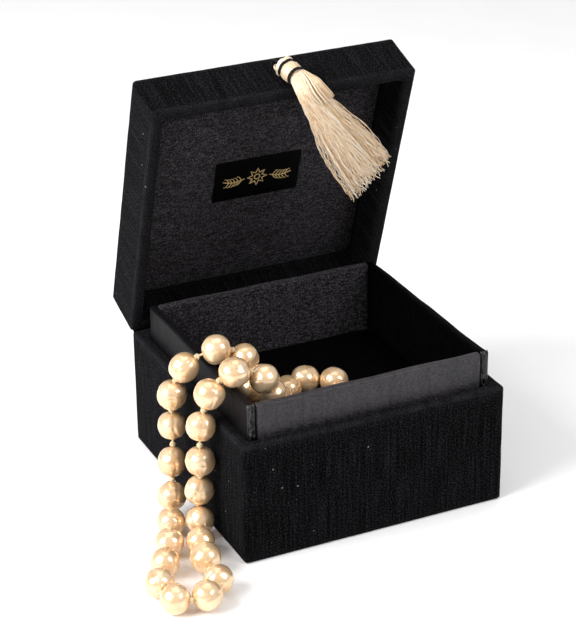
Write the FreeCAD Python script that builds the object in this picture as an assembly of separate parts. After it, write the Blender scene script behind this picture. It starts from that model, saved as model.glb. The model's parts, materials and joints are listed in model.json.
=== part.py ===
"""Misbaha (prayer beads) of 33 baroque pearls in its cloth-covered box with a tasselled lid.

Millimetres, +Z up. The origin is the middle of the box's underside, the front is -Y,
and the lid turns about its back edge. The lid parts are drawn shut and then opened.
"""

import FreeCAD, Part
import math
import os

from FreeCAD import Vector

# ---- driving dimensions of the box ----
WIDTH = 100.0  # outside, both ways
BASE_HEIGHT = 45.0
LID_HEIGHT = 19.5
LID_OPEN = 71.5  # degrees from shut
CLOTH = 0.6  # covering cloth
FOOT_SHEET = 0.6
FOOT_INSET = 1.0
COVER_FOOT_GAP = 0.2  # the covering stops this far above the table
BASE_BOARD = 3.0
BASE_BOTTOM = 2.4
BACK_BOARD = 6.3  # the doubled board that carries the hinge
LID_BOARD = 2.6
LID_TOP_BOARD = 2.4
COVER_TURN_IN = 15.0  # how far the covering is turned in below the rim
EDGE_ROUND = 0.9
LINER_BOARD = 3.0
LINER_TOP = 57.5
PAD_TOP = 33.0
PAD_GAP = 0.3
LINING = 2.8  # padded board inside the lid
LINING_GAP = 0.3
LABEL = (34.0, 18.0, 0.4)
LABEL_Y = -2.0
SPINE_RADIUS = 0.9  # rolled cloth on the hinge line
SPINE_RELIEF = 1.1
HINGE_STRIP = (14.0, 0.5)  # its height on the back and its thickness

# ---- the strand ----
THREAD = 0.8  # silk thread diameter
PEARL = 11.0  # largest pearl diameter
PEARL_STEP = 0.2  # the pearls differ by this much, in three sizes
PEARL_GAP = 0.1  # left to whatever a pearl lies on or beside, unless it is its own knot
DRILL = 1.0
KNOT_RADIUS = 0.95
TIE_RADIUS = 1.4  # the knot that closes the loop
ARC_SHARE = 0.45  # of the shorter run beside a bend
# One point at each knot: from the closing knot over the pad, over the left rim, down the
# wall, out and back on the table, up the wall and over the rim to the closing knot.
ROUTE = [
    (-14, -29, 39.5),
    (-2, -25, 38),
    (6.5, -15, 39),
    (2, -3, 38.5),
    (-11, -2.5, 39),
    (-17.5, -14, 39.5),
    (-26.5, -21.5, 45),
    (-29.5, -30.5, 53.5),
    (-37, -31, 64),
    (-50, -29.5, 62),
    (-55, -28, 50),
    (-56, -27, 37),
    (-55.5, -26.5, 24),
    (-56, -23.5, 11.5),
    (-58, -32, 3.2),
    (-64, -42.5, 7.7),
    (-64, -55, 4.7),
    (-66, -68, 6.2),
    (-78.5, -71.5, 5.7),
    (-86.5, -61.5, 5.2),
    (-80.5, -50, 5.7),
    (-73.5, -39, 5.2),
    (-68, -27, 5.7),
    (-62.5, -15.5, 5.2),
    (-58.5, -6.5, 13.5),
    (-56.5, -4, 26.5),
    (-57, -4.5, 39.5),
    (-56.5, -6, 52),
    (-49, -10, 62),
    (-36.5, -13.5, 64),
    (-29.5, -14, 53),
    (-34, -18, 41.5),
    (-27, -28, 36),
    (-15, -29.5, 41),
]

# ---- the tassel: a thread loop sewn on the lid's front, and a head linked to it ----
LOOP_PLACE = Vector(1.1, -WIDTH / 2, 58.2)  # on the shut lid
LEAN = 13.8  # degrees from straight down the lid's front, to the right
LOOP = (2.0, 0.45)  # radius of a loop and of its cord
LOOP_LIFT = 1.9
HEAD_SPAN = (2.9, 11.3)  # from the loop
HEAD_RADIUS = 3.7
HEAD_LIFT = 4.2  # of its axis above the cloth
BAND_SPAN = (5.6, 10.85)
BAND_RADIUS = 0.45
NECK_END = Vector(4.3, 13.4, 141.2)  # on the open lid, just past its rim
NECK_RADIUS = 3.0
NECK_BALL = 3.2
SKIRT_LEAN = 33.3
# (below the neck's end, half width, half thickness)
SKIRT = [(3.7, 3.3, 3.0), (10, 5, 3.6), (22, 6.8, 4), (36, 8.4, 4.3), (45.3, 9.6, 4.4)]

HALF = WIDTH / 2
HINGE = Vector(0, HALF, BASE_HEIGHT)
LID_TOP = BASE_HEIGHT + LID_HEIGHT
BOARD_OUT = HALF - CLOTH
WALL_IN = BOARD_OUT - BASE_BOARD
BACK_IN = BOARD_OUT - BACK_BOARD
LEDGE_IN = WALL_IN - CLOTH
LEDGE_BACK = BACK_IN - CLOTH
BOTTOM_TOP = FOOT_SHEET + BASE_BOTTOM


def block(x, y, z):
    """A box between two limits each way."""
    size = Vector(x[1] - x[0], y[1] - y[0], z[1] - z[0])
    return Part.makeBox(size.x, size.y, size.z, Vector(x[0], y[0], z[0]))


def square(half, z):
    return block((-half, half), (-half, half), z)


saved = {}


def save(name, shape):
    if not shape.isValid():
        raise ValueError(name + " isn't a valid solid")
    saved[name] = shape
    shape.exportStep("parts/" + name + ".step")


def opened(shape):
    """A lid part, turned from shut to its place on the open lid."""
    turned = shape.copy()
    turned.rotate(HINGE, Vector(1, 0, 0), -LID_OPEN)
    return turned


def hinge_relief():
    """Room along the hinge line for the spine to turn in."""
    y = (HINGE.y - SPINE_RELIEF, HINGE.y + SPINE_RELIEF)
    z = (HINGE.z - SPINE_RELIEF, HINGE.z + SPINE_RELIEF)
    return block((-WIDTH, WIDTH), y, z)


def rounded_upright(shape):
    """The four upright edges rounded, as cloth drawn round a board."""
    upright = []
    for edge in shape.Edges:
        a, b = (v.Point for v in edge.Vertexes)
        if abs(a.x - b.x) + abs(a.y - b.y) < 1e-6:
            upright.append(edge)
    return shape.makeFillet(EDGE_ROUND, upright)


# ---- base ----


def base_boards():
    z = (BOTTOM_TOP, BASE_HEIGHT - CLOTH)
    sides = (-WALL_IN, BACK_IN)
    relief = hinge_relief()
    full = (-BOARD_OUT, BOARD_OUT)
    foot = HALF - FOOT_INSET
    save("foot_sheet", square(foot, (0, FOOT_SHEET)))
    save("base_bottom_board", square(BOARD_OUT, (FOOT_SHEET, BOTTOM_TOP)))
    save("base_wall_front", block(full, (-BOARD_OUT, -WALL_IN), z))
    save("base_wall_back", block(full, (BACK_IN, BOARD_OUT), z).cut(relief))
    save("base_wall_left", block((-BOARD_OUT, -WALL_IN), sides, z))
    save("base_wall_right", block((WALL_IN, BOARD_OUT), sides, z))


def base_cover():
    """One cloth round the outside, over the ledge and down between walls and liner."""
    under = BASE_HEIGHT - CLOTH
    relief = hinge_relief()
    skin = rounded_upright(square(HALF, (COVER_FOOT_GAP, BASE_HEIGHT))).cut(relief)
    boards = square(BOARD_OUT, (-1, under))
    turn_in = block((-WALL_IN, WALL_IN), (-WALL_IN, BACK_IN), (under - COVER_TURN_IN, under))
    well = block((-LEDGE_IN, LEDGE_IN), (-LEDGE_IN, LEDGE_BACK), (-1, BASE_HEIGHT + 1))
    save("base_cover", skin.cut(boards.cut(turn_in)).cut(well))


def liner():
    """Four satin-covered boards that stand up inside the base and locate the lid."""
    z = (BOTTOM_TOP, LINER_TOP)
    inner = LEDGE_IN - LINER_BOARD
    across = (-inner, inner)
    run = (-LEDGE_IN, LEDGE_BACK)
    save("liner_left", block((-LEDGE_IN, -inner), run, z))
    save("liner_right", block((inner, LEDGE_IN), run, z))
    save("liner_front", block(across, (-LEDGE_IN, -inner), z))
    save("liner_back", block(across, (LEDGE_BACK - LINER_BOARD, LEDGE_BACK), z))
    pad = inner - PAD_GAP
    back = LEDGE_BACK - LINER_BOARD - PAD_GAP
    save("floor_pad", block((-pad, pad), (-pad, back), (BOTTOM_TOP, PAD_TOP)))


def hinge_cloth():
    """The rolled cloth on the hinge line and its strip down the back of the base."""
    height, thick = HINGE_STRIP
    length = HALF - CLOTH
    strip_z = (BASE_HEIGHT - height, BASE_HEIGHT)
    strip = block((-length, length), (HALF, HALF + thick), strip_z)
    start = Vector(-length, HINGE.y, HINGE.z)
    spine = Part.makeCylinder(SPINE_RADIUS, 2 * length, start, Vector(1, 0, 0))
    save("hinge_cloth", spine.fuse(strip).removeSplitter())


# ---- lid, drawn shut ----


def lid_boards():
    z = (BASE_HEIGHT + CLOTH, LID_TOP - CLOTH - LID_TOP_BOARD)
    full = (-BOARD_OUT, BOARD_OUT)
    inside = BOARD_OUT - LID_BOARD
    sides = (-inside, inside)
    relief = hinge_relief()
    save("lid_top_board", opened(square(BOARD_OUT, (z[1], LID_TOP - CLOTH))))
    save("lid_wall_front", opened(block(full, (-BOARD_OUT, -inside), z)))
    save("lid_wall_back", opened(block(full, (inside, BOARD_OUT), z).cut(relief)))
    save("lid_wall_left", opened(block((-BOARD_OUT, -inside), sides, z)))
    save("lid_wall_right", opened(block((inside, BOARD_OUT), sides, z)))


def lid_cover():
    """One cloth over the top, round the sides, over the rim and up inside it."""
    inside = BOARD_OUT - LID_BOARD
    well_half = inside - CLOTH
    roof = LID_TOP - CLOTH - LID_TOP_BOARD
    relief = hinge_relief()
    skin = rounded_upright(square(HALF, (BASE_HEIGHT, LID_TOP))).cut(relief)
    boards = square(BOARD_OUT, (BASE_HEIGHT + CLOTH, LID_TOP - CLOTH))
    turn_in = square(inside, (BASE_HEIGHT + CLOTH, roof))
    well = square(well_half, (BASE_HEIGHT - 1, roof))
    save("lid_cover", opened(skin.cut(boards.cut(turn_in)).cut(well)))


def lid_inside():
    """The padded lining board and the woven label on it."""
    half = BOARD_OUT - LID_BOARD - CLOTH - LINING_GAP
    roof = LID_TOP - CLOTH - LID_TOP_BOARD
    face = roof - LINING
    wide, deep, thick = LABEL
    label_y = (LABEL_Y - deep / 2, LABEL_Y + deep / 2)
    save("lid_lining", opened(square(half, (face, roof))))
    save("lid_label", opened(block((-wide / 2, wide / 2), label_y, (face - thick, face))))


# ---- tassel ----


def on_lid_front(along, above):
    """A point on the tassel's line, with the lid shut."""
    lean = math.radians(LEAN)
    down = Vector(math.sin(lean), 0, -math.cos(lean))
    return LOOP_PLACE + down * along + Vector(0, -above, 0)


def rod(start, end, radius):
    return Part.makeCylinder(radius, (end - start).Length, start, end - start)


def tassel_head():
    down = on_lid_front(1, 0) - on_lid_front(0, 0)
    away = Vector(0, -1, 0)
    across = down.cross(away)
    radius, thick = LOOP
    sewn = Part.makeTorus(radius, thick, on_lid_front(0, LOOP_LIFT), across)
    outside = block((-HALF, HALF), (-WIDTH, -HALF), (0, LID_TOP))
    save("tassel_loop", opened(sewn.common(outside)))
    start, end = (on_lid_front(along, HEAD_LIFT) for along in HEAD_SPAN)
    link = Part.makeTorus(radius, thick, on_lid_front(radius, LOOP_LIFT), away)
    head = opened(rod(start, end, HEAD_RADIUS).fuse(link))
    rings = []
    for along in BAND_SPAN:
        place = on_lid_front(along, HEAD_LIFT)
        rings.append(Part.makeTorus(HEAD_RADIUS, BAND_RADIUS, place, down))
    bands = opened(rings[0].fuse(rings[1]))
    neck_start = (opened(Part.Vertex(end))).Point
    neck = rod(neck_start, NECK_END, NECK_RADIUS)
    ball = Part.makeSphere(NECK_BALL, NECK_END)
    save("tassel_head", head.fuse([neck, ball]).cut(bands))
    save("tassel_bands", bands)


def tassel_skirt():
    lean = math.radians(SKIRT_LEAN)
    down = Vector(math.sin(lean), 0, -math.cos(lean))
    across = Vector(math.cos(lean), 0, math.sin(lean))
    sections = []
    for below, wide, thick in SKIRT:
        centre = NECK_END + down * below
        edge = Part.Ellipse(centre + across * wide, centre + Vector(0, thick, 0), centre)
        sections.append(Part.Wire([edge.toShape()]))
    save("tassel_skirt", Part.makeLoft(sections, True))


# ---- strand ----


def bend(before, corner, after):
    """The tangent arc at a corner: its radius and its start, middle and end."""
    back, ahead = before - corner, after - corner
    shorter = min(back.Length, ahead.Length)
    half_turn = (math.pi - back.getAngle(ahead)) / 2
    radius = ARC_SHARE * shorter / math.tan(half_turn)
    start = corner + back.normalize() * ARC_SHARE * shorter
    end = corner + ahead.normalize() * ARC_SHARE * shorter
    inward = (back + ahead).normalize()
    middle = corner + inward * (radius / math.cos(half_turn) - radius)
    return radius, start, middle, end


def thread_path(points):
    """The thread's line, with each bend's radius and middle."""
    edges, radii, middles, here = [], [], [], points[0]
    for before, corner, after in zip(points, points[1:], points[2:]):
        radius, start, middle, end = bend(before, corner, after)
        edges.append(Part.LineSegment(here, start).toShape())
        edges.append(Part.Arc(start, middle, end).toShape())
        radii.append(radius)
        middles.append(middle)
        here = end
    edges.append(Part.LineSegment(here, points[-1]).toShape())
    return Part.Wire(edges), radii, middles


def thread_and_knots(points):
    """The silk thread, with a knot in each bend and one that closes the loop."""
    path, radii, middles = thread_path(points)
    section = Part.Wire([Part.Circle(points[0], points[1] - points[0], THREAD / 2).toShape()])
    tube = path.makePipeShell([section], True, False)
    expected = math.pi * THREAD**2 / 4 * path.Length
    print("thread length %.1f, radii %.1f to %.1f" % (path.Length, min(radii), max(radii)))
    print("thread volume %.2f, section times length %.2f" % (tube.Volume, expected))
    save("strand_thread", tube)
    knots = [Part.makeSphere(KNOT_RADIUS, middle) for middle in middles]
    knots.append(Part.makeSphere(TIE_RADIUS, (points[0] + points[-1]) / 2))
    save("strand_knots", Part.makeCompound(knots))


def pearl_radius(number, centres):
    """Its size step, or less where a neighbour, the table or the box is too close for that."""
    here = centres[number]
    rooms = [PEARL / 2 - PEARL_STEP * (number * 2 % 3) / 2, here.z - PEARL_GAP]
    for other in centres[:number] + centres[number + 1 :]:
        rooms.append((here - other).Length / 2 - PEARL_GAP)
    for name in ("base_cover", "liner_left", "liner_front", "floor_pad"):
        rooms.append(Part.Vertex(here).distToShape(saved[name])[0] - PEARL_GAP)
    return min(rooms)


def strand():
    """The thread, and a drilled pearl halfway between each two knots and in line with them."""
    points = [Vector(*p) for p in ROUTE]
    thread_and_knots(points)
    centres = [(a + b) / 2 for a, b in zip(points, points[1:])]
    for number, centre in enumerate(centres):
        line = (points[number + 1] - points[number]).normalize()
        ball = Part.makeSphere(pearl_radius(number, centres), centre, line)
        drill = Part.makeCylinder(DRILL / 2, PEARL * 2, centre - line * PEARL, line)
        save("pearl_%02d" % (number + 1), ball.cut(drill))


os.makedirs("parts", exist_ok=True)
base_boards()
base_cover()
liner()
hinge_cloth()
lid_boards()
lid_cover()
lid_inside()
tassel_head()
tassel_skirt()
strand()
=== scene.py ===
"""Looks for the misbaha in its hinged box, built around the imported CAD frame.

Shapes are drawn in millimetres, in the frame's axes, and made in metres. What belongs to
the lid is drawn on the shut lid and then opened. Black book cloth covers the box, satin and
grey lining its inside, and a strand of pearls hangs over the left rim.
"""

import json
import math
import random

import bmesh
import bpy
import numpy as np
from mathutils import Matrix, Vector, noise


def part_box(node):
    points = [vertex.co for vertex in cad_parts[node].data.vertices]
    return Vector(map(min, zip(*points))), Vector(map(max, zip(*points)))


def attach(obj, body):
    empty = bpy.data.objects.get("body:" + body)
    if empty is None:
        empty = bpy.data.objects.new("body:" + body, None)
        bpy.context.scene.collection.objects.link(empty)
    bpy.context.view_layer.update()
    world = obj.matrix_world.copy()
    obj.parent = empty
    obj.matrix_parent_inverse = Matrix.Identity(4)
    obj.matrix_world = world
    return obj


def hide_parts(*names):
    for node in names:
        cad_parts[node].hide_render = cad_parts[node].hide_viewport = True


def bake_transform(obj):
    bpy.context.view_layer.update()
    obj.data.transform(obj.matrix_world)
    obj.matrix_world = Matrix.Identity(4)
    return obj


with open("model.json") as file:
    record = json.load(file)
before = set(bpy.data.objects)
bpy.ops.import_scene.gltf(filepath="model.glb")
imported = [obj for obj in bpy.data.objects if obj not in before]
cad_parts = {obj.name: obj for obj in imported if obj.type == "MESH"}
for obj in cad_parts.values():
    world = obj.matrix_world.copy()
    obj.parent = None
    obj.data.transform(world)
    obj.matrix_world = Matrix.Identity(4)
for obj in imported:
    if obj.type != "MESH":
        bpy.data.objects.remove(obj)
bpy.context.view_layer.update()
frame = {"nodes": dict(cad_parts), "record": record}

MM = 0.001
LID_OPEN = math.radians(71.5)
HINGE = Vector((0, 50, 45))
HALF = 50.0  # half the box's width
BASE_TOP = 45.0
LID_TOP = 64.5
LEDGE, REAR = 45.8, 42.5  # the base cloth's inner faces at the sides and front, and at the rear


def added(name, data):
    o = bpy.data.objects.new(name, data)
    bpy.context.scene.collection.objects.link(o)
    return o


# ---------------------------------------------------------------- camera
CAMERA_PLACE = Vector((-0.292638, -0.611005, 0.385162))
AZIMUTH, ELEVATION, ROLL = (math.radians(a) for a in (-24.849, 25.613, -0.80))
camera_data = bpy.data.cameras.new("camera")
camera_data.lens = 119.099
camera_data.sensor_width = 36
camera_data.clip_start, camera_data.clip_end = 0.05, 20
camera = added("camera", camera_data)
camera.matrix_world = (
    Matrix.Translation(CAMERA_PLACE)
    @ Matrix.Rotation(AZIMUTH, 4, "Z")
    @ Matrix.Rotation(math.pi / 2 - ELEVATION, 4, "X")
    @ Matrix.Rotation(ROLL, 4, "Z")
)
bpy.context.scene.camera = camera


# ---------------------------------------------------------------- materials
class Look:
    """A material with a Principled shader, and short ways to add nodes to it."""

    def __init__(self, name):
        self.material = bpy.data.materials.new(name)
        self.material.use_nodes = True
        self.tree = self.material.node_tree
        self.shader = next(n for n in self.tree.nodes if n.type == "BSDF_PRINCIPLED")

    def set(self, **values):
        for key, value in values.items():
            self.shader.inputs[key.replace("_", " ")].default_value = value

    def join(self, output, socket):
        self.tree.links.new(output, socket)

    def link(self, output, name):
        self.join(output, self.shader.inputs[name])

    def node(self, kind, **values):
        n = self.tree.nodes.new(kind)
        for key, value in values.items():
            if key in n.inputs:
                n.inputs[key].default_value = value
            else:
                setattr(n, key, value)
        return n

    def attribute(self, name, output="Fac"):
        return self.node("ShaderNodeAttribute", attribute_name=name).outputs[output]

    def cloth(self):
        """The piece's own unfolded place on the cloth, in millimetres."""
        return self.attribute("cloth", "Vector")

    def object_place(self):
        return self.node("ShaderNodeTexCoord").outputs["Object"]

    def moved(self, operation, vector, by):
        n = self.node("ShaderNodeVectorMath", operation=operation)
        self.join(vector, n.inputs[0])
        n.inputs[1].default_value = by
        return n.outputs[0]

    def stretched(self, vector, scale):
        return self.moved("MULTIPLY", vector, scale)

    def noise(self, vector, scale, detail=2.0, rough=0.5, distortion=0.0):
        n = self.node(
            "ShaderNodeTexNoise", Scale=scale, Detail=detail, Roughness=rough, Distortion=distortion
        )
        self.join(vector, n.inputs["Vector"])
        return n.outputs["Fac"]

    def speckle(self, place, scale, seed=0.0):
        """A fine even speckle, as of short pile or tight weave."""
        return self.noise(self.moved("ADD", place, (seed, seed, 0)), scale, 3, 0.65)

    def math(self, operation, a, b):
        n = self.node("ShaderNodeMath", operation=operation)
        for socket, value in zip(n.inputs, (a, b)):
            if isinstance(value, (int, float)):
                socket.default_value = value
            else:
                self.join(value, socket)
        return n.outputs[0]

    def plus(self, a, b):
        return self.math("ADD", a, b)

    def times(self, a, b):
        return self.math("MULTIPLY", a, b)

    def blended(self, a, b, share):
        """Value a, with value b in this share."""
        return self.plus(self.times(a, 1 - share), self.times(b, share))

    def ramp(self, factor, stops):
        n = self.node("ShaderNodeValToRGB")
        elements = n.color_ramp.elements
        while len(elements) < len(stops):
            elements.new(0.5)
        for e, (place, colour) in zip(elements, stops):
            e.position, e.color = place, (*colour, 1)
        self.join(factor, n.inputs["Fac"])
        return n.outputs["Color"]

    def mixed(self, factor, a, colour):
        n = self.node("ShaderNodeMix", data_type="RGBA")
        self.join(factor, n.inputs[0])
        self.join(a, n.inputs[6])
        n.inputs[7].default_value = (*colour, 1)
        return n.outputs[2]

    def bump(self, height, distance, strength):
        n = self.node("ShaderNodeBump", Strength=strength, Distance=distance)
        self.join(height, n.inputs["Height"])
        self.link(n.outputs["Normal"], "Normal")

    def rough(self, value, by, least):
        self.link(self.plus(self.times(value, by), least), "Roughness")

    def lint(self, place, base, share, colour, size, density):
        """Sparse pale specks."""
        fleck = self.node("ShaderNodeTexVoronoi", Scale=density, Randomness=1.0)
        self.join(place, fleck.inputs["Vector"])
        near = self.math("LESS_THAN", fleck.outputs["Distance"], size)
        rare = self.math("GREATER_THAN", self.noise(place, 0.13, 1), 0.5)
        return self.mixed(self.times(self.times(near, rare), share), base, colour)


def black_cloth():
    """Velvety black book cloth: a short speckled pile, faint upright streaks and pale lint."""
    look = Look("black_cloth")
    place = look.cloth()
    pile = look.speckle(place, 1.7)
    streaks = look.noise(look.stretched(place, (1.3, 0.05, 1.0)), 1.0, 3, 0.6)
    cloudy = look.noise(place, 0.05, 3)
    tone = look.blended(pile, streaks, 0.28)
    stops = [
        (0.41, (0.0001, 0.0001, 0.0002)),
        (0.50, (0.0014, 0.0013, 0.0016)),
        (0.61, (0.0145, 0.0138, 0.0153)),
    ]
    base = look.mixed(look.times(cloudy, 0.3), look.ramp(tone, stops), (0.0028, 0.0028, 0.0034))
    base = look.lint(place, base, 0.6, (0.30, 0.29, 0.27), 0.045, 0.16)
    sparse = look.stretched(place, (3.1, 3.1, 1))
    base = look.lint(sparse, base, 0.25, (0.20, 0.19, 0.18), 0.06, 0.11)
    worn = look.times(look.attribute("worn"), look.times(pile, 0.9))
    look.link(look.mixed(worn, base, (0.026, 0.025, 0.0275)), "Base Color")
    look.bump(look.plus(look.times(streaks, 0.35), pile), 0.00030, 0.85)
    look.rough(pile, 0.15, 0.8)
    fuzz = look.math("MAXIMUM", look.math("SUBTRACT", tone, 0.45), 0.0)
    look.link(look.times(fuzz, 0.36), "Sheen Weight")
    look.set(Sheen_Roughness=0.5, Specular_IOR_Level=0.02, Sheen_Tint=(0.6, 0.6, 0.68, 1))
    return look.material


def satin(name, dark, light, sheen, gloss=0.5, smooth=0.34):
    """Black satin: a tight speckled weave with a soft purple-grey sheen and loose small puckers."""
    look = Look(name)
    place = look.cloth()
    weave = look.speckle(place, 1.7, 5.0)
    streak = look.noise(look.stretched(place, (0.5, 0.06, 0.4)), 1.0, 4, 0.6)
    puckers = look.noise(look.stretched(place, (0.14, 0.06, 0.1)), 1.0, 3, 0.55, 0.6)
    look.link(look.ramp(look.blended(weave, streak, 0.25), [(0.41, dark), (0.62, light)]), "Base Color")
    look.bump(look.plus(look.times(weave, 0.35), puckers), 0.0005, 0.8)
    look.rough(weave, 0.3, smooth)
    look.set(Sheen_Weight=sheen, Sheen_Roughness=0.35, Sheen_Tint=(0.80, 0.70, 0.78, 1))
    look.set(Specular_IOR_Level=gloss, Anisotropic=0.3)
    return look.material


def grey_lining():
    """Dark plain cloth over soft padding, with a speckled grain."""
    look = Look("grey_lining")
    place = look.cloth()
    grain = look.speckle(place, 2.0, 9.0)
    slub = look.noise(look.stretched(place, (0.5, 1.2, 1.0)), 1.0, 3, 0.6)
    cloudy = look.noise(place, 0.045, 3)
    stops = [
        (0.42, (0.002, 0.0018, 0.0021)),
        (0.50, (0.014, 0.0127, 0.0145)),
        (0.595, (0.084, 0.0765, 0.085)),
    ]
    base = look.ramp(look.blended(grain, slub, 0.3), stops)
    look.link(look.mixed(look.times(cloudy, 0.35), base, (0.011, 0.010, 0.0115)), "Base Color")
    look.bump(look.plus(grain, look.times(slub, 0.4)), 0.00028, 0.9)
    look.rough(grain, 0.2, 0.66)
    look.set(Sheen_Weight=0.05, Sheen_Roughness=0.45, Sheen_Tint=(0.78, 0.72, 0.78, 1))
    look.set(Specular_IOR_Level=0.08)
    return look.material


def pulp(name, scale, dark, light, depth, roughness):
    """Board or paper: a fine grain of fibres."""
    look = Look(name)
    fibre = look.noise(look.object_place(), scale, 4, 0.7)
    look.link(look.ramp(fibre, [(0.3, dark), (0.7, light)]), "Base Color")
    look.bump(fibre, depth, 0.5)
    look.set(Roughness=roughness)
    return look.material


def pearl():
    """Golden cream nacre under a clear warm coat, with shade painted darker into its grooves, pits and
    drill holes.
    """
    look = Look("pearl")
    place = look.cloth()
    cloudy = look.noise(look.stretched(place, (0.16, 0.16, 0.22)), 1.0, 3, 0.5, 0.4)
    orient = look.noise(look.stretched(place, (0.11, 0.11, 0.11)), 1.0, 1, 0.4)
    stops = [(0.32, (0.77, 0.53, 0.29)), (0.5, (0.84, 0.64, 0.41)), (0.7, (0.91, 0.76, 0.57))]
    body = look.mixed(look.times(orient, 0.35), look.ramp(cloudy, stops), (0.90, 0.68, 0.56))
    # painted shade: the body darkens to golden brown in the grooves, pits and round the drill holes
    body = look.mixed(look.times(look.attribute("painted_groove_shade"), 0.6), body, (0.50, 0.30, 0.14))
    look.link(body, "Base Color")
    look.bump(look.noise(place, 0.9, 3, 0.5), 0.00012, 0.3)
    look.rough(cloudy, 0.10, 0.20)
    look.set(
        Metallic=0.45,
        Specular_IOR_Level=0.6,
        Specular_Tint=(1.0, 0.70, 0.42, 1),
        Coat_Weight=1.0,
        Coat_Roughness=0.11,
        Coat_IOR=1.9,
        Coat_Tint=(1.0, 0.92, 0.80, 1),
    )
    return look.material


def cord_look(name, stretch, dark, light, depth, strength, **shading):
    """A twisted cord: the ply shows as a fine mottle along it."""
    look = Look(name)
    ply = look.noise(look.stretched(look.cloth(), stretch), 1.0, 3, 0.6)
    look.link(look.ramp(ply, [(0.3, dark), (0.7, light)]), "Base Color")
    look.bump(ply, depth, strength)
    look.set(Roughness=0.6, **shading)
    return look.material


def tassel_thread():
    """Champagne metallic thread: each skirt thread has its own tone, and all catch the light in specks;
    on the bound head the tone is painted shade, darker in the grooves between the lays.
    """
    look = Look("tassel_thread")
    glint = look.noise(look.stretched(look.cloth(), (4.0, 4.0, 1.6)), 1.0, 3, 0.7)
    stops = [
        (0.0, (0.52, 0.30, 0.13)),
        (0.25, (0.86, 0.65, 0.42)),
        (0.75, (0.96, 0.82, 0.63)),
        (1.0, (1.0, 0.97, 0.90)),
    ]
    base = look.ramp(look.attribute("shade"), stops)
    look.link(look.mixed(look.times(glint, 0.4), base, (0.66, 0.44, 0.25)), "Base Color")
    look.bump(glint, 0.00015, 0.8)
    look.rough(glint, 0.3, 0.25)
    look.set(Metallic=0.3, Sheen_Weight=0.3, Sheen_Roughness=0.4)
    return look.material


def gold_embroidery():
    look = Look("gold_embroidery")
    stitch = look.node(
        "ShaderNodeTexWave", wave_type="BANDS", bands_direction="DIAGONAL", Scale=1.7, Distortion=0.4
    )
    look.join(look.cloth(), stitch.inputs["Vector"])
    stitches = stitch.outputs["Fac"]
    stops = [(0.2, (0.62, 0.40, 0.14)), (0.8, (1.0, 0.78, 0.40))]
    look.link(look.ramp(stitches, stops), "Base Color")
    look.bump(stitches, 0.0001, 0.8)
    look.set(Roughness=0.38, Metallic=0.2)
    return look.material


MATERIALS = {
    "black_cloth": black_cloth(),
    "black_satin": satin("black_satin", (0.0026, 0.0023, 0.0028), (0.036, 0.031, 0.036), 0.13, 0.4),
    "grey_lining": grey_lining(),
    "label_satin": satin("label_satin", (0.0002,) * 3, (0.0012,) * 3, 0.0, 0.04),
    "greyboard": pulp("greyboard", 900, (0.16, 0.15, 0.13), (0.42, 0.39, 0.34), 0.0001, 0.92),
    "foot_paper": pulp(
        "foot_paper", 1400, (0.012, 0.012, 0.013), (0.032, 0.032, 0.034), 0.00008, 0.75
    ),
    "pearl": pearl(),
    "silk": cord_look(
        "silk", (3.0, 3.0, 1.0), (0.52, 0.38, 0.20), (0.80, 0.66, 0.43), 0.00012, 0.6,
        Sheen_Weight=0.4, Sheen_Roughness=0.4,
    ),
    "tassel_thread": tassel_thread(),
    "black_cord": cord_look(
        "black_cord", (3.0, 3.0, 3.0), (0.002, 0.002, 0.002), (0.010, 0.0095, 0.010), 0.00015, 0.8,
        Sheen_Weight=0.03, Specular_IOR_Level=0.15,
    ),
}  # fmt: skip
GOLD = gold_embroidery()
# The left and right panels take darker copies of the front panel's satin: painted shade, near black on
# the right panel.
SATIN_LOOKS = {
    "left": satin("satin_left", (0.0006, 0.0005, 0.0007), (0.0075, 0.0062, 0.0076), 0.02, 0.08),
    "right": satin("satin_right", (0.0003,) * 3, (0.0022, 0.0020, 0.0022), 0.0, 0.02),
    "back": MATERIALS["grey_lining"],
    "gather": satin(
        "satin_gather", (0.0004, 0.0004, 0.0005), (0.003, 0.0026, 0.0031), 0.0, 0.45, 0.16
    ),
}
# painted shade: a near-black satin for the floor cushion, darker than the grey lining it stands for, as
# the inside of the box lies in shade
CUSHION_IN_SHADE = satin("cushion_cloth_painted_shade", (0.0002,) * 3, (0.002, 0.0019, 0.002), 0.0, 0.02)

slot_of = {s["node"]: s["material_slot"] for s in frame["record"]["subparts"]}
for name, o in frame["nodes"].items():
    o.data.materials.clear()
    o.data.materials.append(MATERIALS[slot_of[name]])


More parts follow.
